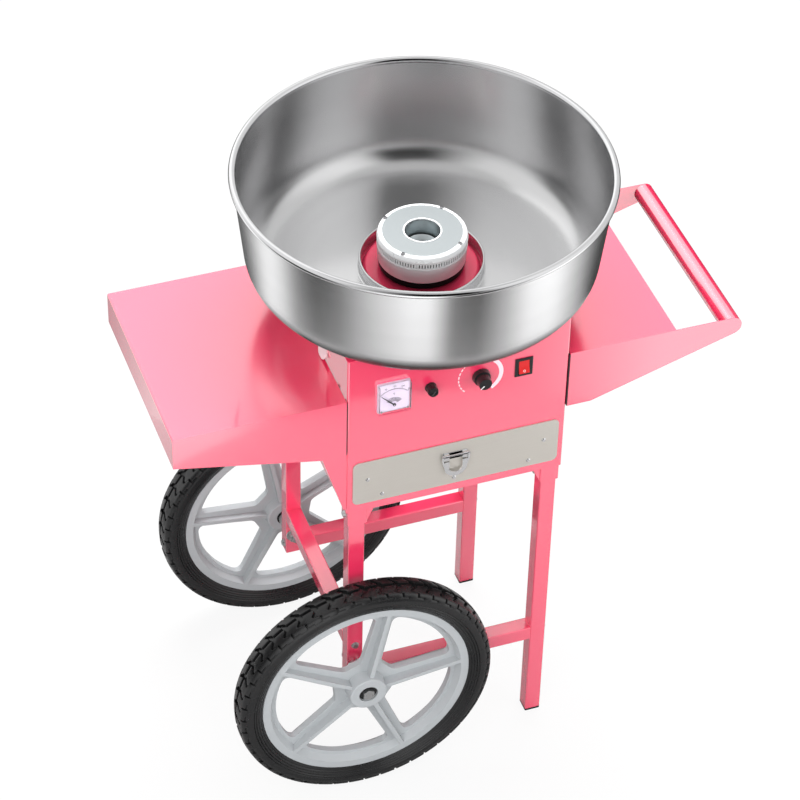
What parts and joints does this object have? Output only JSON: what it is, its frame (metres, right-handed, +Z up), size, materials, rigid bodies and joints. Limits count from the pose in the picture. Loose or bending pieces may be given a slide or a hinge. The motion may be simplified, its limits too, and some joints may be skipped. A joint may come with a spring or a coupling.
{
  "type": "cotton candy cart",
  "caption": "Wheeled sheet-metal cart with a steel bowl round a spinner head, a side shelf, a push handle, a drawer and a control panel.",
  "frame": {"origin": "on the ground, at the centre of the overall bounding box", "axes": "+Z up; +X from the side shelf towards the push handle; -Y is the front, with the control panel and the drawer"},
  "size_m": [0.8399, 0.536, 0.969],
  "materials": {
    "pink_paint": "glossy powder coat",
    "stainless_bowl": "spun, bright",
    "stainless_front": "brushed",
    "bright_steel": "polished",
    "zinc": "zinc plated",
    "cast_aluminium": "machined, satin",
    "band_aluminium": "punched sheet",
    "black_plastic": "satin black",
    "bush_plastic": "black",
    "grey_plastic": "moulded light grey",
    "tyre_rubber": "matt black",
    "clip_plastic": "pale",
    "meter_body": "pale dial behind the cover",
    "clear_cover": "clear plastic",
    "needle_paint": "black",
    "red_rocker": "glossy red",
    "pot_metal": "stamped",
    "insulator": "phenolic black",
    "element_steel": "heat stained",
    "deck_steel": "galvanised",
    "housing_iron": "machined",
    "bearing_steel": "ground",
    "motor_steel": "dark paint",
    "pulley_alloy": "turned",
    "copper_rings": "turned",
    "belt_rubber": "black"
  },
  "bodies": {
    "cart": {"leg_front_left": "pink_paint", "leg_back_left": "pink_paint", "leg_front_right": "pink_paint", "leg_back_right": "pink_paint", "leg_end_caps": "black_plastic", "leg_sockets": "pink_paint", "stretcher_front": "pink_paint", "stretcher_back": "pink_paint", "stretcher_left": "pink_paint", "frame_bolts": "zinc", "shelf_brackets": "pink_paint", "base_plate": "pink_paint", "cabinet_body": "pink_paint", "back_panel": "pink_paint", "cord_gland": "black_plastic", "top_plate": "pink_paint", "shelf_left": "pink_paint", "shelf_right": "pink_paint", "handle_tube": "pink_paint", "axle_bolts": "zinc", "axle_nuts": "zinc", "drawer_runners": "zinc", "voltmeter_case": "meter_body", "voltmeter_cover": "clear_cover", "fuse_holder": "black_plastic", "regulator_body": "pot_metal", "switch_body": "black_plastic", "bowl_clips": "clip_plastic", "bearing_housing": "housing_iron", "spindle_bearings": "bearing_steel", "motor_deck": "deck_steel", "motor_body": "motor_steel", "drive_belt": "belt_rubber", "brush_holder": "insulator"},
    "wheel_front": {"wheel_front": "grey_plastic", "tyre_front": "tyre_rubber", "hub_bushes_front": "bush_plastic"},
    "wheel_back": {"wheel_back": "grey_plastic", "tyre_back": "tyre_rubber", "hub_bushes_back": "bush_plastic"},
    "drawer": {"drawer_front": "stainless_front", "drawer_screws": "bright_steel", "drawer_box": "zinc", "pull_plate": "bright_steel"},
    "ring_pull": {"ring_pull": "bright_steel"},
    "needle": {"voltmeter_needle": "needle_paint"},
    "fuse_cap": {"fuse_cap": "black_plastic"},
    "knob": {"regulator_knob": "black_plastic"},
    "rocker": {"switch_rocker": "red_rocker"},
    "motor_rotor": {"motor_pulley": "pulley_alloy"},
    "spindle": {"head_base": "cast_aluminium", "head_band": "band_aluminium", "head_cap": "cast_aluminium", "head_screws": "bright_steel", "head_insulator": "insulator", "heating_ring": "element_steel", "spindle_shaft": "zinc", "spindle_pulley": "pulley_alloy", "slip_rings": "copper_rings"},
    "bowl": {"bowl": "stainless_bowl"}
  },
  "joints": [
    {"name": "wheel_front_spin", "type": "hinge", "parent": "cart", "child": "wheel_front", "pos_m": [-0.15275, -0.1962, 0.1964], "axis": [0, 1, 0], "continuous": true},
    {"name": "wheel_back_spin", "type": "hinge", "parent": "cart", "child": "wheel_back", "pos_m": [-0.15275, 0.1962, 0.1964], "axis": [0, 1, 0], "continuous": true},
    {"name": "spindle_spin", "type": "hinge", "parent": "cart", "child": "spindle", "pos_m": [-0.00675, 0, 0.7], "axis": [0, 0, 1], "continuous": true},
    {"name": "motor_spin", "type": "hinge", "parent": "cart", "child": "motor_rotor", "pos_m": [-0.00675, 0.092, 0.7], "axis": [0, 0, 1], "continuous": true},
    {"name": "bowl_lift", "type": "slide", "parent": "cart", "child": "bowl", "axis": [0, 0, 1], "range_m": [0, 0.12]},
    {"name": "drawer_slide", "type": "slide", "parent": "cart", "child": "drawer", "axis": [0, -1, 0], "range_m": [0, 0.2]},
    {"name": "ring_pull_swing", "type": "hinge", "parent": "drawer", "child": "ring_pull", "pos_m": [-0.00925, -0.1668, 0.5855], "axis": [-1, 0, 0], "range_deg": [0, 85]},
    {"name": "voltmeter_needle_swing", "type": "hinge", "parent": "cart", "child": "needle", "pos_m": [-0.10375, -0.1667, 0.7065], "axis": [0, 1, 0], "range_deg": [0, 90], "stiffness_Nm_per_rad": 0.001},
    {"name": "fuse_cap_turn", "type": "hinge", "parent": "cart", "child": "fuse_cap", "pos_m": [-0.04925, -0.169, 0.7195], "axis": [0, 1, 0], "range_deg": [-90, 0]},
    {"name": "regulator_knob_turn", "type": "hinge", "parent": "cart", "child": "knob", "pos_m": [0.02475, -0.169, 0.7195], "axis": [0, 1, 0], "range_deg": [0, 270]},
    {"name": "power_rocker_tilt", "type": "hinge", "parent": "cart", "child": "rocker", "pos_m": [0.08845, -0.1565, 0.7195], "axis": [1, 0, 0], "range_deg": [0, 18]}
  ],
  "couplings": [
    {"joint": "motor_spin", "follows": "spindle_spin", "ratio": 0.5667}
  ]
}
